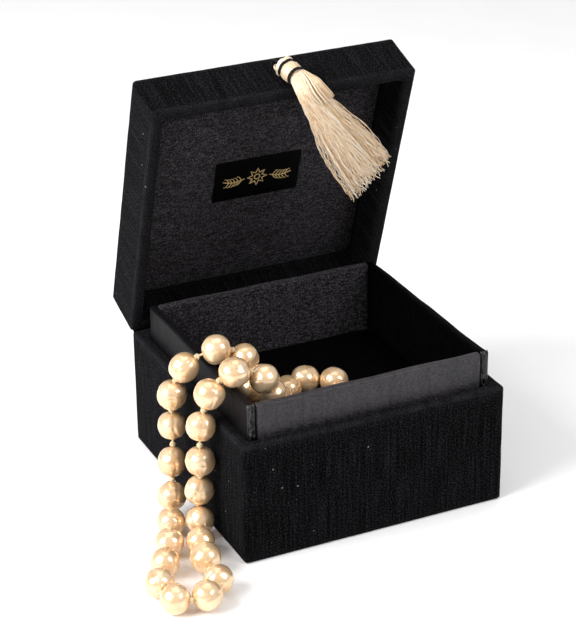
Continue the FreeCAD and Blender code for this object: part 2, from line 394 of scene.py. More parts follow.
# ---------------------------------------------------------------- mesh helpers
class Shape:
    """Vertices in millimetres, each with its place on the cloth and one extra value, and faces."""

    def __init__(self):
        self.verts, self.cloth, self.extra, self.faces = [], [], [], []

    def add(self, points, cloth, extra=None):
        start = len(self.verts)
        self.verts.extend(tuple(p) for p in points)
        self.cloth.extend(tuple(c) for c in cloth)
        self.extra.extend([0.0] * len(points) if extra is None else extra)
        return start

    def bridge(self, a, b, n, closed=True):
        """Quads between two rows of n vertices that start at a and b."""
        for i in range(n if closed else n - 1):
            j = (i + 1) % n
            self.faces.append((a + i, a + j, b + j, b + i))

    def skin(self, rows, n, closed=True):
        """Quads from each row to the next."""
        for a, b in zip(rows, rows[1:]):
            self.bridge(a, b, n, closed)

    def fan(self, ring_start, n, tip, flip=False):
        for i in range(n):
            j = (i + 1) % n
            face = (ring_start + i, ring_start + j, tip)
            self.faces.append(face[::-1] if flip else face)

    def make(self, name, slot, body, turned=False, nodes=(), extra_name=None, look=None):
        """The object in its material, on its body, in place of the CAD nodes it stands for."""
        mesh = bpy.data.meshes.new(name)
        matrix = opening() if turned else Matrix.Identity(4)
        points = [matrix @ (Vector(p) * MM) for p in self.verts]
        mesh.from_pydata(points, [], self.faces)
        mesh.validate()
        cloth = mesh.attributes.new("cloth", "FLOAT_VECTOR", "POINT")
        cloth.data.foreach_set("vector", np.array(self.cloth, np.float32).ravel())
        if extra_name:
            extra = mesh.attributes.new(extra_name, "FLOAT", "POINT")
            extra.data.foreach_set("value", np.array(self.extra, np.float32))
        work = bmesh.new()
        work.from_mesh(mesh)
        bmesh.ops.recalc_face_normals(work, faces=work.faces)
        work.to_mesh(mesh)
        work.free()
        mesh.polygons.foreach_set("use_smooth", [True] * len(mesh.polygons))
        mesh.materials.append(look or MATERIALS[slot])
        o = added(name, mesh)
        if body:
            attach(o, body)
        if nodes:
            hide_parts(*nodes)
        return o


def opening():
    """Turns what is drawn on the shut lid, in metres, to the open lid."""
    hinge = Matrix.Translation(HINGE * MM)
    return hinge @ Matrix.Rotation(-LID_OPEN, 4, "X") @ hinge.inverted()


def rough_noise(p, scale, seed=0.0):
    x, y, z = p
    return noise.noise(Vector((x * scale + seed, y * scale - seed, z * scale + seed * 0.37)))


def circle_angles(count):
    return [math.tau * i / count for i in range(count)]


SIDE_STEPS, CORNER_STEPS = 44, 7
RING = 4 * (CORNER_STEPS + SIDE_STEPS)


def ring_points(left, right_, front, rear, radius, z):
    """A rounded rectangle, anticlockwise from its front-left corner, and each point's way out."""
    radius = max(radius, 0.02)
    corners = (
        (-left + radius, -front + radius, 180),
        (right_ - radius, -front + radius, 270),
        (right_ - radius, rear - radius, 0),
        (-left + radius, rear - radius, 90),
    )
    points, ways = [], []
    for k, (cx, cy, start) in enumerate(corners):
        for i in range(CORNER_STEPS + 1):
            a = math.radians(start + 90 * i / CORNER_STEPS)
            points.append(Vector((cx + radius * math.cos(a), cy + radius * math.sin(a), z)))
            ways.append(Vector((math.cos(a), math.sin(a), 0)))
        nx, ny, nstart = corners[(k + 1) % 4]
        a = math.radians(nstart)
        end = Vector((nx + radius * math.cos(a), ny + radius * math.sin(a), z))
        here = points[-1].copy()
        for i in range(1, SIDE_STEPS):
            points.append(here.lerp(end, i / SIDE_STEPS))
            ways.append(ways[-1] if i > 1 else Vector((math.cos(a), math.sin(a), 0)))
    return points, ways


def around(points):
    """The distance along a ring to each of its points."""
    out, total = [0.0], 0.0
    for a, b in zip(points, points[1:]):
        total += (b - a).length
        out.append(total)
    return out


def arc(centre_a, centre_b, radius, start, end, steps):
    """Points (a, b) on an arc, its ends in degrees."""
    angles = [math.radians(a) for a in spaced(start, end, steps)]
    return [(centre_a + radius * math.cos(a), centre_b + radius * math.sin(a)) for a in angles]


def spaced(a, b, count):
    return [a + (b - a) * i / count for i in range(count + 1)]


def path_way(points, i, closed=False):
    """The way a path runs at its point i."""
    last = len(points) - 1
    before = points[i - 1] if i or closed else points[0]
    after = points[(i + 1) % (last + 1)] if i < last or closed else points[last]
    return (after - before).normalized()


# ---------------------------------------------------------------- strand
# The thread runs straight through each pearl and bends at each knot: from the closing knot
# over the pad, over the left rim, down the wall, out and back on the table, and home.
ROUTE = [
    (-14, -29, 39.5), (-2, -25, 38), (6.5, -15, 39), (2, -3, 38.5), (-11, -2.5, 39),
    (-17.5, -14, 39.5), (-26.5, -21.5, 45), (-29.5, -30.5, 53.5), (-37, -31, 64), (-50, -29.5, 62),
    (-55, -28, 50), (-56, -27, 37), (-55.5, -26.5, 24), (-56, -23.5, 11.5), (-58, -32, 3.2),
    (-64, -42.5, 7.7), (-64, -55, 4.7), (-66, -68, 6.2), (-78.5, -71.5, 5.7), (-86.5, -61.5, 5.2),
    (-80.5, -50, 5.7), (-73.5, -39, 5.2), (-68, -27, 5.7), (-62.5, -15.5, 5.2), (-58.5, -6.5, 13.5),
    (-56.5, -4, 26.5), (-57, -4.5, 39.5), (-56.5, -6, 52), (-49, -10, 62), (-36.5, -13.5, 64),
    (-29.5, -14, 53), (-34, -18, 41.5), (-27, -28, 36), (-15, -29.5, 41),
]  # fmt: skip
THREAD = 0.8  # across
KNOT, KNOT_LONG = 1.0, 1.05
TIE, TIE_LONG = 1.35, 1.6  # the knot that closes the loop
PEARL_ROUND, PEARL_LONG = 84, 44  # faces round a pearl, and from end to end
PEARL_SKIN = 0.02  # how far a pearl's mesh stays inside its solid
THREAD_HOLE = 0.55
SEAM_WAY = Vector((-0.45, -0.89, 0))  # the side that the pearls' seams are near

thread_curve = bpy.data.curves.new("thread", "CURVE")
thread_curve.dimensions = "3D"
thread_curve.resolution_u = 12
spline = thread_curve.splines.new("NURBS")
spline.points.add(len(ROUTE) - 1)
for p, knot in zip(spline.points, ROUTE):
    p.co = (*(c * MM for c in knot), 1)
spline.order_u = 3
spline.use_endpoint_u = True
thread = added("thread", thread_curve)
line_mesh = bpy.data.meshes.new_from_object(thread)
LINE = [v.co / MM for v in line_mesh.vertices]  # the thread's middle line
bpy.data.meshes.remove(line_mesh)
thread_curve.bevel_depth = THREAD / 2 * MM
thread_curve.bevel_resolution = 3
thread_curve.use_fill_caps = True
thread_curve.materials.append(MATERIALS["silk"])
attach(thread, "base")
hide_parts("strand_thread")


def on_line(target):
    """The nearest place on the thread's line, and the way the thread runs there."""
    i = min(range(len(LINE)), key=lambda k: (LINE[k] - target).length)
    return LINE[i], path_way(LINE, i)


def turned_to(way):
    """A rotation that takes +Z to way."""
    return Vector((0, 0, 1)).rotation_difference(way).to_matrix()


def pearl_shape(seed, radius, centre, way):
    """A baroque pearl: nearly round, with rings about its drilled line, dimples and a seam."""
    rng = random.Random(seed)
    rings = [
        (rng.uniform(-0.75, 0.75), rng.uniform(0.04, 0.15), rng.uniform(0.07, 0.14))
        for _ in range(rng.choice((0, 1, 1, 2)))
    ]
    pits = []
    for _ in range(rng.choice((1, 2, 3, 4))):
        v = Vector((rng.gauss(0, 1), rng.gauss(0, 1), rng.gauss(0, 0.8))).normalized()
        pits.append((v, rng.uniform(0.10, 0.24), rng.uniform(0.14, 0.28)))
    shape = Shape()
    matrix = turned_to(way)
    front = matrix.transposed() @ SEAM_WAY
    seam_at = math.atan2(front.y, front.x) + rng.uniform(-0.75, 0.75)
    seam_depth, seam_bend = rng.uniform(0.12, 0.5), rng.uniform(-0.25, 0.25)
    flat_at, flat = rng.uniform(0, math.tau), rng.uniform(0.0, 0.05)
    long_by = rng.uniform(-0.05, 0.015)

    def surface(theta, phi):
        """The place on the pearl, about its middle, and how much shade to paint there for a groove, pit
        or the drill hole.
        """
        z, s = math.cos(phi), math.sin(phi)
        d = Vector((s * math.cos(theta), s * math.sin(theta), z))
        r, painted_groove_shade = radius, 0.0
        for place, depth, wide in rings:
            w = math.exp(-(((z - place) / wide) ** 2)) * (0.75 + 0.25 * math.cos(theta - seam_at))
            r -= depth * w
            painted_groove_shade += w * depth * 2.2
        for v, depth, wide in pits:
            w = math.exp(-(((d - v).length / wide) ** 2))
            r -= depth * w
            painted_groove_shade += w * depth * 2.4
        turn = math.remainder(theta - seam_at - seam_bend * math.sin(2.2 * z + seed), math.tau)
        w = math.exp(-((turn * s / 0.13) ** 2)) * s
        w *= 0.55 + 0.45 * noise.noise(Vector((seed * 5.3, 0, z * 2.4)))
        r -= seam_depth * w
        painted_groove_shade += w * seam_depth * 2.0
        r *= 1 - flat * math.cos(theta - flat_at) ** 2 * s * s
        r -= 0.08 + 0.16 * noise.noise(d * 1.6 + Vector((seed * 3.1, 0, 0)))
        r *= 1 + 0.02 * math.sin(2 * phi) ** 2
        p = d * r
        p.z *= 1 + long_by
        hole = math.exp(-((s * radius / THREAD_HOLE) ** 2))
        p.z -= 0.35 * hole * (1 if z > 0 else -1)
        # painted shade gathers round the drill hole as well as in the grooves and pits
        return p, min(painted_groove_shade + 0.5 * hole, 1.0)

    def row_at(phi, thetas):
        places = [surface(theta, phi) for theta in thetas]
        return shape.add(
            [matrix @ p + centre for p, _ in places],
            [p + Vector((seed * 17, 0, 0)) for p, _ in places],
            [painted_groove_shade for _, painted_groove_shade in places],
        )

    thetas = circle_angles(PEARL_ROUND)
    rows = [row_at(math.pi * k / PEARL_LONG, thetas) for k in range(1, PEARL_LONG)]
    shape.skin(rows, PEARL_ROUND)
    for phi, row in ((0.0, rows[0]), (math.pi, rows[-1])):
        shape.fan(row, PEARL_ROUND, row_at(phi, [0]), phi == 0.0)
    return shape


for i in range(1, len(ROUTE)):
    name = "pearl_%02d" % i
    low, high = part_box(name)
    centre, way = on_line((low + high) / 2 / MM)
    pearl_shape(i, max(high - low) / 2 / MM - PEARL_SKIN, centre, way).make(
        "pearl_bead_%02d" % i, "pearl", "base", nodes=[name], extra_name="painted_groove_shade"
    )


def knot_rows(shape, centre, way, radius, long, seed):
    """A pulled-tight silk knot: a plump ball with a twisted lay."""
    matrix = turned_to(way)
    count, rows, steps = 18, [], 12
    for k in range(1, steps):
        phi = math.pi * k / steps
        z, s = math.cos(phi), math.sin(phi)
        points = []
        for theta in circle_angles(count):
            lay = 0.26 * math.cos(3 * theta + 6 * z + seed) + 0.08 * math.cos(7 * theta - 3 * z)
            r = s * radius * (1 + lay)
            points.append(Vector((r * math.cos(theta), r * math.sin(theta), z * long)))
        rows.append(shape.add([matrix @ p + centre for p in points], [p + centre for p in points]))
    shape.skin(rows, count)
    for sign, row in ((1, rows[0]), (-1, rows[-1])):
        tip = shape.add([matrix @ Vector((0, 0, sign * long)) + centre], [centre])
        shape.fan(row, count, tip, sign == 1)


knots = Shape()
for i, corner in enumerate(ROUTE[1:-1], 1):
    centre, way = on_line(Vector(corner))
    knot_rows(knots, centre, way, KNOT, KNOT_LONG, i)
first, last = Vector(ROUTE[0]), Vector(ROUTE[-1])
knot_rows(knots, (first + last) / 2, (first - last).normalized(), TIE, TIE_LONG, 0)
knot_piece = knots.make("silk_knots", "silk", "base", nodes=["strand_knots"])


# ---------------------------------------------------------------- cloth-covered boxes
def shell(profile, soft, seed):
    """A skin swept round the box, and its rows' first vertices.

    Each row of the profile is (left, right, front, rear, corner radius, z, worn).
    """
    shape = Shape()
    rows, run, last = [], 0.0, None
    along = around(ring_points(HALF, HALF, HALF, HALF, 1.0, 0)[0])
    for row in profile:
        points, ways = ring_points(*row[:6])
        place = (row[0], row[5])
        run += math.dist(place, last or place)
        last = place
        moved = []
        for p, w in zip(points, ways):
            push = soft * (0.6 * rough_noise(p, 0.09, seed) + 0.4 * rough_noise(p, 0.35, seed))
            moved.append(p + w * push + Vector((0, 0, push * 0.5)))
        cloth = [(u, run, seed * 10) for u in along]
        worn = [row[6] * (0.55 + 0.45 * rough_noise(p, 0.3, seed + 5)) for p in points]
        rows.append(shape.add(moved, cloth, worn))
    return shape, rows


def even(half, radius, z, worn=0.0):
    """A row of a profile that is as far out on all four sides."""
    return (half, half, half, half, radius, z, worn)


EDGE, LIP = 1.1, 0.9  # roundness of the cloth over a rim's outer and inner edge
CORNER = 1.3  # roundness of the box's upright edges


def base_cover():
    foot = 0.2
    shoulder = HALF - EDGE
    profile = [even(HALF - 0.5, 0.9, foot, 0.2)]
    profile += [even(HALF, CORNER, z, 0.5 * math.exp(-z / 1.5)) for z in (0.8, 2, 4)]
    profile += [even(HALF, CORNER, z) for z in spaced(7, 41, 12)]
    profile += [even(HALF, CORNER, z, 0.25) for z in (42.5, 43.3)]
    profile += [even(a, CORNER, z, 1.0) for a, z in arc(shoulder, BASE_TOP - EDGE, EDGE, 0, 90, 6)]
    for t in (0.3, 0.6):
        e = shoulder - t * (shoulder - LEDGE - LIP)
        r = shoulder - t * (shoulder - REAR - LIP)
        profile.append((e, e, e, r, 1.0, BASE_TOP - 0.02, 0.45))
    for a, z in arc(LIP, BASE_TOP - LIP, LIP, 90, 180, 5):
        profile.append((LEDGE + a, LEDGE + a, LEDGE + a, REAR + a, 0.6, z, 0.5))
    profile += [(LEDGE, LEDGE, LEDGE, REAR, 0.5, z, 0.0) for z in (42, 38, 34, 30)]
    inner = LEDGE + 0.5
    profile += [(inner, inner, inner, REAR + 0.5, 0.5, z, 0.0) for z in (29.6, 36, 44.0)]
    profile += [even(HALF - 0.6, 0.7, z) for z in (44.2, 30, 15, 1)]
    shape, rows = shell(profile, 0.16, 1.0)
    shape.skin(rows + rows[:1], RING)
    return shape.make("base_cloth", "black_cloth", "base", nodes=["base_cover"], extra_name="worn")


def lid_cover():
    rim, top = BASE_TOP - 0.1, LID_TOP + 0.2
    out, well = HALF + 0.45, 46.2
    under, inside = 63.9, HALF - 0.6
    profile = [even(well, 2.0, z) for z in (61.4, 57, 52, 48)]
    for a, z in arc(LIP, rim + LIP, LIP, 180, 270, 5):
        profile.append(even(well + a, 2.0 + a * 0.5, z, 0.5))
    profile += [even(a, CORNER, z, 1.0) for a, z in arc(out - EDGE, rim + EDGE, EDGE, -90, 0, 6)]
    profile += [even(out, CORNER, z, 0.1) for z in spaced(47.2, 62.6, 8)]
    profile += [even(a, CORNER, z, 1.0) for a, z in arc(out - EDGE, top - EDGE, EDGE, 0, 90, 6)]
    for e in (48, 46, 43, 39, 34, 28, 21, 14, 7, 1.5):
        crown = top - 0.05 + 0.12 * (1 - (e / 49) ** 2)
        profile.append(even(e, min(CORNER, e * 0.5), crown, 0.1))
    shape, rows = shell(profile, 0.14, 2.0)
    inner_profile = [even(e, 0.7, under) for e in (1.5, 20, inside)]
    inner_profile += [even(inside, 0.7, z) for z in (55, 45.7)]
    inner_profile += [even(46.8, 0.5, z) for z in (45.7, 61.4)]
    inner, inner_rows = shell(inner_profile, 0.0, 2.0)
    offset = shape.add(inner.verts, inner.cloth, inner.extra)
    inner_rows = [r + offset for r in inner_rows]
    shape.skin(rows, RING)
    shape.skin(inner_rows + rows[:1], RING)
    for row, z in ((rows[-1], top + 0.07), (inner_rows[0], under)):
        tip = shape.add([(0, 0, z)], [(0, 0, 20)])
        shape.fan(row, RING, tip)
    # the top's weave follows the board and not the rings
    for k, (x, y, z) in enumerate(shape.verts):
        if z > 64.2 and max(abs(x), abs(y)) < 49.2:
            shape.cloth[k] = (x + 300, y + 300, 20)
    return shape.make("lid_cloth", "black_cloth", "lid", True, ["lid_cover"], "worn")


def slab(low, high, radius, step, shift=None, seed=0.0, drift=0.0):
    """A board with soft edges: a box whose faces are cut in a grid, rounded, then moved by shift(p)."""
    low, high = Vector(low), Vector(high)
    axes = []
    ends = [radius * t for t in (0, 0.2, 0.45, 0.72)]
    for a, b in zip(low, high):
        inner = spaced(a + radius, b - radius, max(1, round((b - a - 2 * radius) / step)))
        axes.append([a + e for e in ends] + inner + [b - e for e in reversed(ends)])
    index, places, shape = {}, [], Shape()

    def vertex(i, j, k):
        key = (i, j, k)
        if key not in index:
            p = Vector((axes[0][i], axes[1][j], axes[2][k]))
            core = Vector([min(max(c, a + radius), b - radius) for c, a, b in zip(p, low, high)])
            if (p - core).length > 1e-9:
                p = core + (p - core).normalized() * radius
            index[key] = len(places)
            places.append(p)
        return index[key]

    n = [len(a) - 1 for a in axes]
    for axis in range(3):
        u, v = [a for a in range(3) if a != axis]
        for side in (0, n[axis]):
            for i in range(n[u]):
                for j in range(n[v]):
                    quad = []
                    for du, dv in ((0, 0), (1, 0), (1, 1), (0, 1)):
                        key = [0, 0, 0]
                        key[axis], key[u], key[v] = side, i + du, j + dv
                        quad.append(vertex(*key))
                    shape.faces.append(tuple(quad))
    thin = min(range(3), key=lambda a: (high - low)[a])
    u, v = [a for a in range(3) if a != thin]
    moved, cloth = [], []
    for p in places:
        q = p + Vector(shift(p)) if shift else p.copy()
        if drift:
            wander = ((0.12, seed), (0.12, seed + 9), (0.1, seed + 4))
            q = q + Vector([rough_noise(p, *w) for w in wander]) * drift
        moved.append(q)
        cloth.append((p[u] + seed * 31, p[v] + p[thin], seed * 7 + p[thin] * 0.3))
    shape.add(moved, cloth)
    return shape


def swell(p, low, high, wide):
    """0 at the edges of a pad and 1 a width inside them, with a soft shoulder."""
    ways = [min((c - a) / wide, (b - c) / wide, 1) for c, a, b in zip(p[:2], low, high)]
    return math.prod(math.sin(max(w, 0) * math.pi / 2) for w in ways)


base_cover()
lid_cover()

INNER = 42.8  # the liner boards' inner faces
PANEL_TOP, PANEL_FOOT = 57.5, 3.0


def liner_panels():
    """Four covered boards; the front ends of the side ones are hidden by the gathers."""

    def dip(p):
        """The panel's top edge dips a little and its face pulls in and out."""
        lift = max(0.0, (p.z - 48) / 10)
        end = max(0.0, 1 - (p.y + LEDGE) / 3.2) if abs(p.x) > INNER - 0.05 else 0.0
        if end > 0:
            crease = rough_noise((p.x * 2.2, p.y * 2.2, p.z * 0.45), 0.8, 12) * 0.55 * end
            ear = 0.7 * end * max(0.0, (p.z - 55.5) / 2)
            return (crease, crease * 0.7 - 0.1 * end, ear + 0.3 * crease)
        wave = 0.22 * math.sin(p.x * 0.21 + 1.2) * math.sin(p.y * 0.19 + 0.4)
        return (
            0.14 * lift * rough_noise(p, 0.11, 3),
            0.14 * lift * rough_noise(p, 0.13, 7),
            -0.12 * lift + wave * lift * 0.7,
        )

    boards = {
        "front": ((-INNER + 0.1, -LEDGE + 0.05, PANEL_FOOT), (INNER - 0.1, -INNER, PANEL_TOP)),
        "back": ((-INNER + 0.1, REAR - 3, PANEL_FOOT), (INNER - 0.1, REAR - 0.05, PANEL_TOP)),
        "left": ((-LEDGE + 0.05, -LEDGE + 1.2, PANEL_FOOT), (-INNER, REAR - 0.05, PANEL_TOP)),
        "right": ((INNER, -LEDGE + 1.2, PANEL_FOOT), (LEDGE - 0.05, REAR - 0.05, PANEL_TOP)),
    }
    for k, (name, (low, high)) in enumerate(boards.items()):
        shape = slab(low, high, 0.95, 2.2, dip, seed=k + 1.0, drift=0.08)
        look = SATIN_LOOKS.get(name)
        shape.make("satin_" + name, "black_satin", "base", nodes=["liner_" + name], look=look)


liner_panels()


def gather(name, side):
    """Satin bunched over the front end of a side panel: a dense patch of ragged upright folds."""
    wide, tall = 34, 80
    foot, high, back_high = 44.4, 13.35, 13.0
    shape, rows = Shape(), []
    near, far = INNER + 0.2, LEDGE + 0.05
    across = spaced(0, 1, wide)
    for j in range(tall + 1):
        z = foot + high * j / tall
        points, cloth = [], []
        for t in across:
            wander = 1.6 * rough_noise((side * 3.0, t, z), 0.33, 2)
            ridge = 0.34 * math.sin(t * 13 + wander * 2.2 + side)
            ridge *= 0.6 + 0.4 * rough_noise((t, z, 9), 0.5, 3)
            ridge += 0.42 * rough_noise((t * 4, z * 0.8, side * 5), 0.75, 6)
            ridge += 0.20 * rough_noise((t * 6, z, side * 7), 1.9, 8)
            edge = min(t * 5, (1 - t) * 5, 1)
            over = max(0.0, (z - 56.8) / 0.95)
            y = -LEDGE + 0.28 - ridge * edge + 0.5 * (1 - edge) + 0.9 * over * over
            x = near + (far - near) * t
            points.append(Vector((side * x, max(y, -LEDGE - 0.4), z + 0.35 * ridge * edge)))
            cloth.append((x + 700, z, side * 3.0))
        rows.append(shape.add(points, cloth))
    back = []
    n = wide + 1
    for z in (foot, foot + back_high):
        points = [Vector((side * (near + (far - near) * t), -LEDGE + 1.4, z)) for t in across]
        back.append(shape.add(points, [(700, z, side)] * n))
    shape.skin(rows, n, closed=False)
    shape.bridge(back[0], rows[0], n, closed=False)
    shape.bridge(rows[-1], back[1], n, closed=False)
    shape.bridge(back[1], back[0], n, closed=False)
    for e in (0, n - 1):
        shape.faces.append(tuple([back[0] + e] + [r + e for r in rows] + [back[1] + e]))
    shape.make(name, "black_satin", "base", look=SATIN_LOOKS["gather"])


gather("satin_gather_left", -1)
gather("satin_gather_right", 1)


def floor_cushion():
    low, high = (-42.5, -42.5, 3.0), (42.5, 39.2, 33.0)

    def crown(p):
        if p.z < 20:
            return (0, 0, 0)
        sink = 1.9 * (1 - swell(p, low, high, 9))
        return (0, 0, -sink - 0.15 + 0.12 * rough_noise(p, 0.07, 2))

    shape = slab(low, high, 1.6, 2.4, crown, seed=6.0)
    # painted shade: the box's floor takes the near-black cushion satin instead of the grey lining
    return shape.make("floor_cushion", "grey_lining", "base", nodes=["floor_pad"], look=CUSHION_IN_SHADE)


floor_cushion()


def lid_cushion():
    half = 45.9
    low, high = (-half, -half, 58.7), (half, half, 61.4)

    def crown(p):
        if p.z > 60.5:
            return (0, 0, 0)
        return (0, 0, 0.55 * (1 - swell(p, low, high, 5)) + 0.06 * rough_noise(p, 0.1, 4))

    shape = slab(low, high, 1.1, 2.2, crown, seed=8.0)
    return shape.make("lid_cushion", "grey_lining", "lid", True, ["lid_lining"])


lid_cushion()


# ---------------------------------------------------------------- label with a plain ornament
LABEL_FACE = 58.3
GOLD_THREAD = 0.22


def label():
    low, high = (-17.0, -11.0, LABEL_FACE), (17.0, 7.0, 58.75)
    shape = slab(low, high, 0.18, 1.6, None, seed=11.0, drift=0.05)
    return shape.make("label_patch", "label_satin", "lid", True, ["lid_label"])


def tube(shape, points, radius, sides=6, closed=False, seed=0.0, extra=0.0, taper=0.0):
    """A thread of round section along points."""
    count, rows, run = len(points), [], 0.0
    normal = path_way(points, 0, closed).orthogonal().normalized()
    for i, p in enumerate(points):
        way = path_way(points, i, closed)
        normal = (normal - way * normal.dot(way)).normalized()
        side = way.cross(normal)
        run += (p - points[i - 1]).length if i else 0.0
        r = radius * (1 - taper * i / (count - 1))
        ring = [p + (normal * math.cos(a) + side * math.sin(a)) * r for a in circle_angles(sides)]
        cloth = [(seed * 13 + k, seed * 7, run) for k in range(sides)]
        rows.append(shape.add(ring, cloth, [extra] * sides))
    shape.skin(rows, sides)
    if closed:
        shape.bridge(rows[-1], rows[0], sides)
    else:
        for row, p, flip in ((rows[0], points[0], True), (rows[-1], points[-1], False)):
            tip = shape.add([p], [(seed * 13, 0, 0)], [extra])
            shape.fan(row, sides, tip, flip)


def ornament():
    """A plain eight-pointed star between two leafy sprigs, in gold thread."""
    shape = Shape()
    centre = Vector((0, -2.0, LABEL_FACE - 0.02))

    def ringed(radii):
        angles = circle_angles(len(radii))
        return [centre + Vector((r * math.cos(a), r * math.sin(a), 0)) for r, a in zip(radii, angles)]

    tube(shape, ringed([3.9, 2.6, 2.0, 2.6] * 8), GOLD_THREAD, closed=True, seed=1)
    tube(shape, ringed([1.1] * 16), GOLD_THREAD, closed=True, seed=2)
    for side in (-1, 1):
        stem = [
            centre + Vector((side * (5.0 + 8.6 * t), math.sin(t * math.pi), 0))
            for t in spaced(0, 1, 14)
        ]
        tube(shape, stem, 0.2, seed=3)
        for k, root in enumerate(stem[2:11:2]):
            for lift in (-1, 1):
                leaf = [
                    root + Vector((side * 2.0 * t, lift * 1.9 * math.sin(t * 1.9), 0))
                    for t in spaced(0, 1, 5)
                ]
                tube(shape, leaf, GOLD_THREAD, seed=4 + k, taper=0.5)
    return shape.make("label_ornament", "label_satin", "lid", True, look=GOLD)


label()
ornament()


# ---------------------------------------------------------------- hinge cloth
def hinge_cloth():
    """One strip of cloth glued to the backs of base and lid, slack over the hinge line."""
    behind = HALF + 0.3
    outside = [Vector((0, behind, z)) for z in (31.2, 34, 37, 40, 42.5, 44.0)]
    turn = Matrix.Rotation(-LID_OPEN, 3, "X")
    shut = [Vector((0, behind, z)) for z in (46.2, 47.5, 50, 53, 56.5)]
    lid_side = [turn @ (p - HINGE) + HINGE for p in shut]
    join = [Vector((0, 50.75, 44.9)), Vector((0, 51.0, 45.0))]
    corners = [outside[-1], *join, lid_side[0]]
    middle = [a.lerp(b, 0.5) for a, b in zip(corners, corners[1:])]
    path = outside + middle + lid_side
    shape, rows, run = Shape(), [], 0.0
    xs = spaced(-49.2, 49.2, 60)
    thick = 0.22
    for face in (1, -1):
        for i, p in enumerate(path):
            way = path_way(path, i)
            out = Vector((0, way.z, -way.y))
            run += (p - path[i - 1]).length if i else 0
            points = []
            for x in xs:
                q = Vector((x, p.y, p.z))
                points.append(q + out * (thick * face + 0.05 * rough_noise(q, 0.2, 3)))
            rows.append(shape.add(points, [(x + 500, run, 30) for x in xs]))
    n, half = len(xs), len(path)
    front, rear = rows[:half], rows[half:]
    for side in (front, rear):
        shape.skin(side, n, closed=False)
    for k in (0, half - 1):
        shape.bridge(front[k], rear[k], n, closed=False)
    for a, b, c, d in zip(front, front[1:], rear[1:], rear):
        for e in (0, n - 1):
            shape.faces.append((a + e, b + e, c + e, d + e))
    strip = shape.make("hinge_strip", "black_cloth", None, nodes=["hinge_cloth"])
    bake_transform(strip)


hinge_cloth()


# ---------------------------------------------------------------- tassel
LOOP_PLACE = Vector((1.1, -HALF, 58.2))  # on the shut lid's front
LOOP_OUT = 1.9  # how far the sewn loop's middle stands off the lid
HEAD_LIFT = 4.2  # the head's middle line above the lid's front
BINDINGS = ((5.6, 3.35), (10.85, 3.25))  # place along the head, and radius
TASSEL_LEAN = math.radians(13.8)
SKIRT_LEAN = math.radians(35.5)
NECK_END = Vector((4.3, 13.4, 141.2))  # past the lid's rim, where the skirt hangs free
SKIRT_LENGTH = 43.2
LONG_THREADS, SHORT_THREADS = 520, 60


def fall(lean):
    return Vector((math.sin(lean), 0, -math.cos(lean)))


def level(lean):
    return Vector((math.cos(lean), 0, math.sin(lean)))


def open_point(along, above):
    """The place, on the open lid, this far down the tassel and above the lid's front."""
    shut = LOOP_PLACE + fall(TASSEL_LEAN) * along + Vector((0, -above, 0))
    return opening() @ (shut * MM) / MM


def smooth_path(points, count):
    """A Catmull-Rom line through points."""
    out = []
    spans = len(points) - 1
    for k in range(count + 1):
        t = k / count * spans
        i = min(int(t), spans - 1)
        f = t - i
        p0, p1 = points[max(i - 1, 0)], points[i]
        p2, p3 = points[i + 1], points[min(i + 2, spans)]
        cubic = p1 * 2 + (p2 - p0) * f + (p0 * 2 - p1 * 5 + p2 * 4 - p3) * f**2
        out.append((cubic + (p1 * 3 - p0 - p2 * 3 + p3) * f**3) * 0.5)
    return out


HEAD_START, NECK_START = (open_point(along, HEAD_LIFT) for along in (2.9, BINDINGS[1][0]))
HEAD_WAY = (NECK_START - HEAD_START).normalized()
HEAD_FLAT = HEAD_WAY.orthogonal().normalized()
HEAD_CROSS = HEAD_WAY.cross(HEAD_FLAT)
HEAD_SIDE = (opening().to_3x3() @ level(TASSEL_LEAN)).normalized()
HEAD_ABOVE = (open_point(0, 1) - open_point(0, 0)).normalized()
DOWN, ACROSS, OUT = fall(SKIRT_LEAN), level(SKIRT_LEAN), Vector((0, -1, 0))


def head_point(centre, radius, angle):
    return centre + (HEAD_FLAT * math.cos(angle) + HEAD_CROSS * math.sin(angle)) * radius


def bound_threads(head):
    """Lengthwise threads over a core, drawn in under the bindings."""
    profile = [(0.0, 1.2), (0.5, 2.5), (1.4, 3.3), (2.3, 3.1), (2.75, 2.85), (3.3, 3.25), (4.6, 3.65),
               (6.2, 3.6), (7.4, 3.2), (7.95, 2.75), (8.5, 3.0)]  # fmt: skip
    rows, count = [], 72
    for along, radius in profile:
        centre = HEAD_START + HEAD_WAY * along
        points, painted_lay_shades = [], []
        for a in circle_angles(count):
            lay = math.cos(24 * a + 0.9 * along)
            ridge = 0.10 * lay + 0.16 * rough_noise((a * 3, along, 0), 1.1, 3)
            points.append(head_point(centre, radius + ridge, a))
            # painted shade: the head's threads darken in the grooves between the raised lays and
            # lighten on them
            painted_lay_shades.append(0.28 + 0.3 * lay)
        rows.append(head.add(points, points, painted_lay_shades))
    head.skin(rows, count)
    for row, along, flip in ((rows[0], -0.1, True), (rows[-1], profile[-1][0], False)):
        tip = head.add([HEAD_START + HEAD_WAY * along], [(0, 0, 0)], [0.3])
        head.fan(row, count, tip, flip)


def wound_cap(head):
    """The knobbly cap: three turns of cord."""
    for k, radius in enumerate((2.2, 3.2, 3.4)):
        centre = HEAD_START + HEAD_WAY * (0.35 + 0.75 * k)
        turn = []
        for a in circle_angles(40):
            middle = centre + HEAD_WAY * (0.12 * math.sin(5 * a))
            turn.append(head_point(middle, radius + 0.12 * math.sin(7 * a + k), a))
        tube(head, turn, 0.5, 7, closed=True, seed=k, extra=0.75)


def link_to_loop(head):
    """The ring of cord that hangs the head in the lid's sewn loop."""
    loop = opening() @ ((LOOP_PLACE + OUT * LOOP_OUT) * MM) / MM
    link = [
        loop + HEAD_WAY * (2.0 - 2.0 * math.cos(a)) + HEAD_SIDE * (1.7 * math.sin(a))
        for a in circle_angles(24)
    ]
    tube(head, link, 0.4, 7, closed=True, seed=9, extra=0.4)


